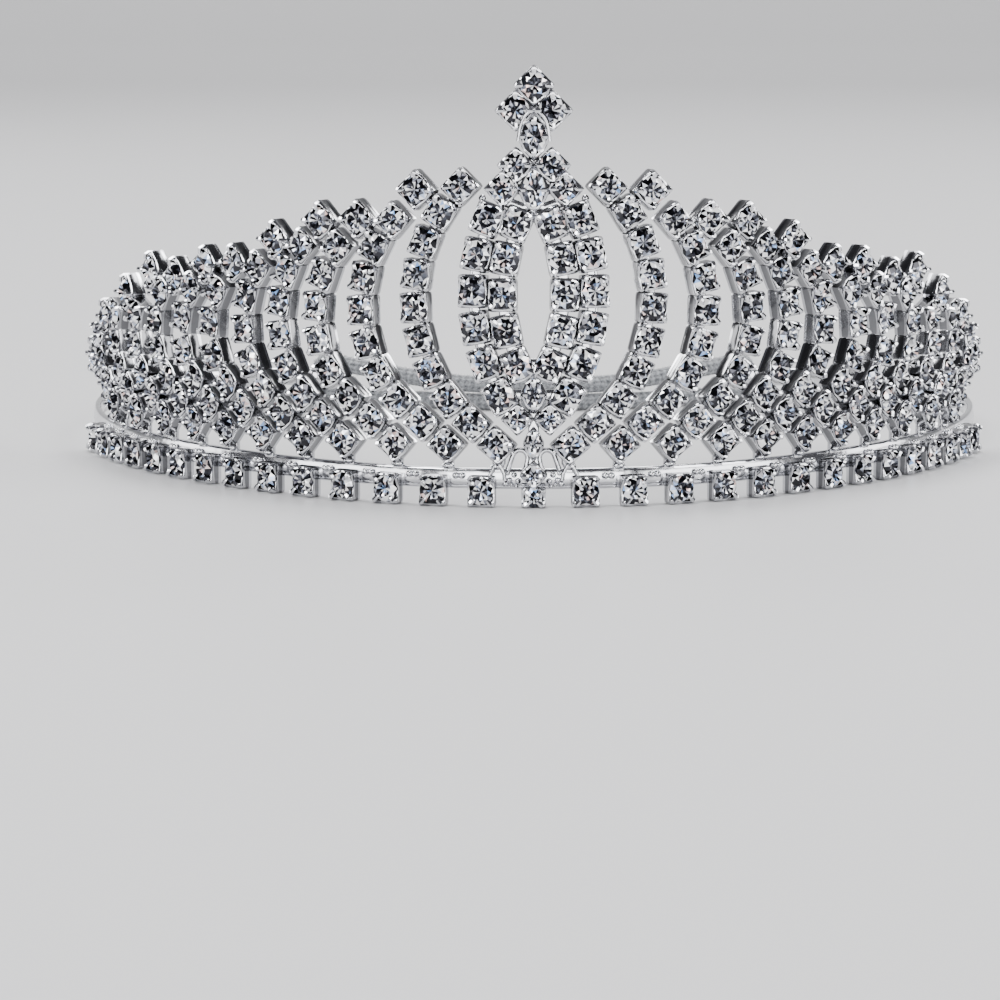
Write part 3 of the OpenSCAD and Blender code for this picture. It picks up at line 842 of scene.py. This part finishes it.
# %% Build the strip, its rolled ends and its cups
EYE_R, EYE_WALL, EYE_LOW, EYE_PAST = 1.35, 0.65, 2.5, 0.6
ROLL_FROM, ROLL_TO = 12, 335  # the part of a full turn that the roll makes, in degrees
STRIP_POINTS, NARROWING = 150, 5  # points along one half of the strip, and how many of them the narrowing takes
# Points across the strip, out and up from its middle: flat inside, eased outside, with the scored line low down.
band_section = np.array([
    [-0.5, -1.10], [-0.25, -1.35], [0.25, -1.35], [0.42, -1.18], [0.44, -0.98], [0.34, -0.90], [0.46, -0.82],
    [0.52, -0.42], [0.50, 0.0], [0.45, 0.50], [0.39, 0.94], [0.33, 1.18], [0.18, 1.35], [-0.25, 1.35], [-0.5, 1.10],
    [-0.5, 0.0]])
curl = EYE_R + EYE_WALL / 2
eye = strip_point(np.array(HALF_LEN)) + EYE_PAST * along(BACK_END) \
    + (BAND_OUT - BAND_T / 2 - curl) * outward(BACK_END) - [0, Y_MID]


def strip_path(side):
    """Middle line, outward direction and size of the strip from the front to the end of its roll."""
    u = np.concatenate([np.linspace(0, HALF_LEN, STRIP_POINTS), [HALF_LEN + EYE_PAST]])
    a = np.where(u > HALF_LEN, BACK_END, strip_angle(np.minimum(u, HALF_LEN)))
    out = outward(a)
    line = strip_point(np.minimum(u, HALF_LEN)) + np.clip(u - HALF_LEN, 0, None)[:, None] * along(a)
    line = line + (BAND_OUT - BAND_T / 2) * out - [0, Y_MID]
    phi = np.radians(np.linspace(ROLL_FROM, ROLL_TO, 28))[:, None]
    roll_out = np.cos(phi) * outward(BACK_END) + np.sin(phi) * along(BACK_END)
    line = np.concatenate([line, eye + curl * roll_out])
    out = np.concatenate([out, roll_out])
    narrow = np.clip((np.arange(len(line)) - STRIP_POINTS + NARROWING - 1) / NARROWING, 0, 1)
    thick = BAND_T + (EYE_WALL - BAND_T) * narrow
    low, high = BAND_LOW + (EYE_LOW - BAND_LOW) * narrow, np.full(len(line), BAND_TOP)
    path = np.concatenate([line, ((low + high) / 2)[:, None]], 1)
    first = np.concatenate([out, np.zeros((len(out), 1))], 1)
    if side == "left":
        path, first = path * [-1, 1, 1], first * [-1, 1, 1]
    return path, first, np.stack([thick / BAND_T, (high - low) / BAND_H], -1)


metal = Shape()
right, left = strip_path("right"), strip_path("left")
path, first, size = (np.concatenate([l[:0:-1], r]) for l, r in zip(left, right))
sweep(metal, path, first, np.tile(UP, (len(path), 1)), band_section[::-1], size, tone=0.9)
for side in ("left", "right"):
    settings(metal, BASE[side], BASE_BACK, BASE_D)
    for shift in (-0.4, 0.4):
        joint = BASE_FIRST + (np.arange(BASE_COUNT - 1) + 0.5) * BASE_STEP + shift
        solder(metal, joint, 0 * joint + 3.9, side, 0.1, (0.5, 0.45, 0.45))
    gems = Shape()
    stones(gems, BASE[side], BASE_BACK + BASE_D)
    gems.build(f"stones_base_{side}", glass.material, 0, [f"base_stones_{side}"], "stones")
metal.build("strip", plating.material, 50, ["base_band"])

# %% [markdown]
# ## The elastic
# A soft covered elastic loop holds the tiara on. It is knitted, so it is matt, grey and slightly furry, and its
# pattern runs in slanting ribs. The loop is a round tube carried along one closed line through both eyes.

# %% Build the elastic
ELASTIC_R, BOW, TURN_R = 1.25, 13.0, 1.2  # thickness over two, how far the loop bows back, its turn in an eye
COVER_SIDES, HALF_POINTS = 20, 60
low_z, mid_z, top_z = ELASTIC_R + 0.03, 3 * ELASTIC_R + 0.05, BAND_TOP + ELASTIC_R + 0.1
reach = eye[0] - TURN_R


def elastic_half():
    """Half of the loop in x and z: the high strand, a quarter turn into the eye, one out of it, the low strand."""
    t = np.linspace(0, 1, HALF_POINTS, endpoint=False)
    high = np.stack([t * reach, mid_z + (top_z - mid_z) * t ** 3 * (3 - 2 * t)], -1)
    a, b = np.radians(np.linspace(90, 0, 9)), np.radians(np.linspace(0, -90, 9))
    into = np.stack([reach + TURN_R * np.cos(a), top_z - TURN_R * (1 - np.sin(a))], -1)
    out = np.stack([reach + TURN_R * np.cos(b), low_z + TURN_R * (1 + np.sin(b))], -1)
    low = np.stack([t[:0:-1] * reach, np.full(HALF_POINTS - 1, low_z)], -1)
    return np.concatenate([high, into, out, low])


half = elastic_half()
loop = np.concatenate([half, [[0, low_z]], half[:0:-1] * [-1, 1]])
line = np.stack([loop[:, 0], eye[1] - BOW * (1 - (loop[:, 0] / eye[0]) ** 2), loop[:, 1]], -1)
ahead = np.roll(line, -1, 0) - np.roll(line, 1, 0)
ahead /= np.linalg.norm(ahead, axis=1, keepdims=True)
flat = np.stack([-2 * BOW * line[:, 0] / eye[0] ** 2, np.ones(len(line)), np.zeros(len(line))], -1)
flat /= np.linalg.norm(flat, axis=1, keepdims=True)
third = np.cross(ahead, flat)
a = 2 * np.pi * np.arange(COVER_SIDES) / COVER_SIDES
circle = ELASTIC_R * np.stack([np.cos(a), np.sin(a)], -1)

RIBS_ALONG, RIBS_ROUND = 2 * np.pi * 72, 2 * np.pi * 5  # whole turns, so that the ribs meet where the loop closes
knit = Finish("grey_knit")
uv = knit.make("ShaderNodeUVMap", {"uv_map": "UVMap"}, {})
parts = [knit.make("ShaderNodeSeparateXYZ", {}, {0: uv}, i) for i in (0, 1)]
slant, turn = parts[0] * RIBS_ALONG, parts[1] * RIBS_ROUND
ribs = (slant + turn).sine() * (slant - turn).sine()
fuzz = knit.noise(3000.0, 4.0)
knit.set(
    Base_Color=knit.mix((0.5 + 0.25 * ribs + 1.6 * (fuzz - 0.5)).clamp(),
                        (0.035, 0.038, 0.043, 1), (0.33, 0.345, 0.365, 1)),
    Roughness=0.95,
    Normal=knit.bump(ribs * 0.6 + fuzz, 0.7, 0.0002),
    Sheen_Weight=0.3, Sheen_Roughness=0.5,
)
cover = Shape()
sweep(cover, line, flat, third, circle, closed=True, uv_scale=(1 / len(line), 1 / COVER_SIDES))

# %% [markdown]
# A knitted cover is never smooth at its edge. Hair would make it soft too, but it isn't a mesh and would be lost
# when the model is passed on. So each fibre is a thin closed spike with three sides: three corners just inside the
# tube and a tip that points out and a little to one side.

# %% Loose fibres on the elastic
FIBRES, FIBRE_WIDE = 9000, 0.028
at = dice.uniform(0, 1, FIBRES) * len(line)
i = at.astype(int) % len(line)
p = dice.uniform(0, 2 * np.pi, FIBRES)[:, None]
away = flat[i] * np.cos(p) + third[i] * np.sin(p)
lean = ahead[i] * dice.uniform(-1, 1, (FIBRES, 1)) + np.cross(ahead[i], away) * dice.uniform(-1, 1, (FIBRES, 1))
roots = line[i] + ahead[i] * (at % 1)[:, None] * 0.9 + away * (ELASTIC_R - 0.05)
wide = np.cross(away, lean)
wide *= FIBRE_WIDE / np.linalg.norm(wide, axis=1, keepdims=True)
deep = np.cross(away, wide)
hair = away * dice.uniform(0.10, 0.36, (FIBRES, 1)) + lean * 0.30
room = (roots[:, 2] - 0.01) / np.maximum(-hair[:, 2], 1e-6)  # a fibre over the floor ends just above it
tips = roots + hair * np.minimum(room, 1)[:, None]
spikes = np.stack([roots - wide - deep / 2, roots + wide - deep / 2, roots + deep, tips], 1)
cover.add(spikes, [copies([[0, 1, 3], [1, 2, 3], [2, 0, 3], [0, 2, 1]], 4, FIBRES)])
cover.build("elastic_loop", knit.material, 60, ["elastic"], "elastic")
print(FIBRES, "fibres")

# %% [markdown]
# ## Floor, light and camera
# Jewellery is lit with large soft boxes and dark gaps between them, because cut stones show only what they
# mirror. The floor is plain and pale. The camera stands low and far off, as a product photographer's does, and
# looks slightly down at the front.

# %% The floor
floor_finish = Finish("pale_floor")
floor_finish.set(Base_Color=(0.57, 0.57, 0.58, 1), Roughness=0.35)
x = np.linspace(-1, 1, 2)
run = np.concatenate([np.linspace(-3, 1.2, 2), 1.2 + 0.8 * np.sin(np.radians(np.linspace(10, 90, 9))), [2.0]])
rise = np.concatenate([[0, 0], 0.8 - 0.8 * np.cos(np.radians(np.linspace(10, 90, 9))), [3.0]])
gx, gy = np.meshgrid(x * 4, run, indexing="ij")
points = np.stack([gx, gy, np.broadcast_to(rise, gx.shape)], -1).reshape(-1, 3)
n = len(run)
quads = np.stack([np.arange(n - 1), n + np.arange(n - 1), n + np.arange(1, n), np.arange(1, n)], -1)
mesh = bpy.data.meshes.new("floor")
mesh.from_pydata(points.tolist(), [], quads.tolist())
mesh.polygons.foreach_set("use_smooth", np.ones(n - 1, bool))
mesh.materials.append(floor_finish.material)
floor = bpy.data.objects.new("floor", mesh)
bpy.context.scene.collection.objects.link(floor)
print("floor and backdrop in one sheet of", len(quads), "faces")

# %% [markdown]
# The key light is high on the left and the fill on the right. Long low boxes at the front give the strip its white
# line. The stones' black facets are painted, and the gaps between the boxes darken what their mirrored facets show.

# %% Soft boxes
from mathutils import Vector


def soft_box(name, place, size, power, aim=(0, 0, 0.02), tall=None):
    """An area light that looks at the crown, square unless it is told how tall it is."""
    light = bpy.data.lights.new(name, "AREA")
    light.shape = "RECTANGLE"
    light.size, light.size_y, light.energy = size, tall or size, power
    lamp = bpy.data.objects.new(name, light)
    lamp.location = place
    lamp.rotation_mode = "QUATERNION"
    lamp.rotation_quaternion = (Vector(aim) - Vector(place)).to_track_quat("-Z", "Y")
    bpy.context.scene.collection.objects.link(lamp)


soft_box("key", (-0.50, -0.55, 0.70), 0.40, 8.0)
soft_box("fill", (0.70, -0.40, 0.45), 0.50, 6.0)
soft_box("top", (0.05, 0.10, 0.95), 0.50, 9.0)
soft_box("back_left", (-0.60, 0.65, 0.40), 0.25, 3.0)
soft_box("back_right", (0.60, 0.70, 0.50), 0.25, 3.0)
soft_box("low_front", (0.0, -1.35, 0.14), 1.5, 9.0, tall=0.26)
soft_box("low_left", (-1.27, -0.80, 0.14), 1.2, 6.0, tall=0.26)
soft_box("low_right", (1.27, -0.80, 0.14), 1.2, 6.0, tall=0.26)
soft_box("side_left", (-1.45, 0.45, 0.25), 0.5, 4.0, tall=0.46)
soft_box("side_right", (1.45, 0.45, 0.25), 0.5, 4.0, tall=0.46)
soft_box("backdrop", (0.0, 1.0, 2.2), 1.5, 42.0, (0, 1.5, 0.2))
world = bpy.data.worlds.new("studio")
world.use_nodes = True
world.node_tree.nodes["Background"].inputs[0].default_value = (0.09, 0.09, 0.10, 1)
world.node_tree.nodes["Background"].inputs[1].default_value = 1.0
bpy.context.scene.world = world

# %% [markdown]
# The camera's place was worked out from the picture: how much smaller the side cups look than the front ones gives
# the distance, and how far the strip's line rises towards the sides gives the tilt.

# %% Camera
# The distance is from the front of the crown, the tilt down and the aim to the left are in degrees, and the focal
# length is in pixels of a picture that is 1000 pixels wide.
DISTANCE, HEIGHT, TILT, AIM = 544.0, 77.5, 7.99, 0.453
FOCAL, PICTURE, SENSOR = 4238 / np.cos(np.radians(TILT)), 1000, 36
camera_data = bpy.data.cameras.new("camera")
camera_data.lens, camera_data.sensor_width = SENSOR * FOCAL / PICTURE, SENSOR
camera_data.clip_start, camera_data.clip_end = 0.05, 20
camera = bpy.data.objects.new("camera", camera_data)
camera.location = (0, (cad_low.y / MM - DISTANCE) * MM, HEIGHT * MM)
camera.rotation_euler = (np.radians(90 - TILT), 0, np.radians(AIM))
bpy.context.scene.collection.objects.link(camera)
bpy.context.scene.camera = camera
print(f"camera {DISTANCE:.0f} mm from the front, lens {camera_data.lens:.0f} mm")

# %% [markdown]
# ## The measured size
# Dressing must not change the size of the crown. The measured box is printed.

# %% The measured box
print("measured box", np.round([cad_low, cad_high], 4).tolist())
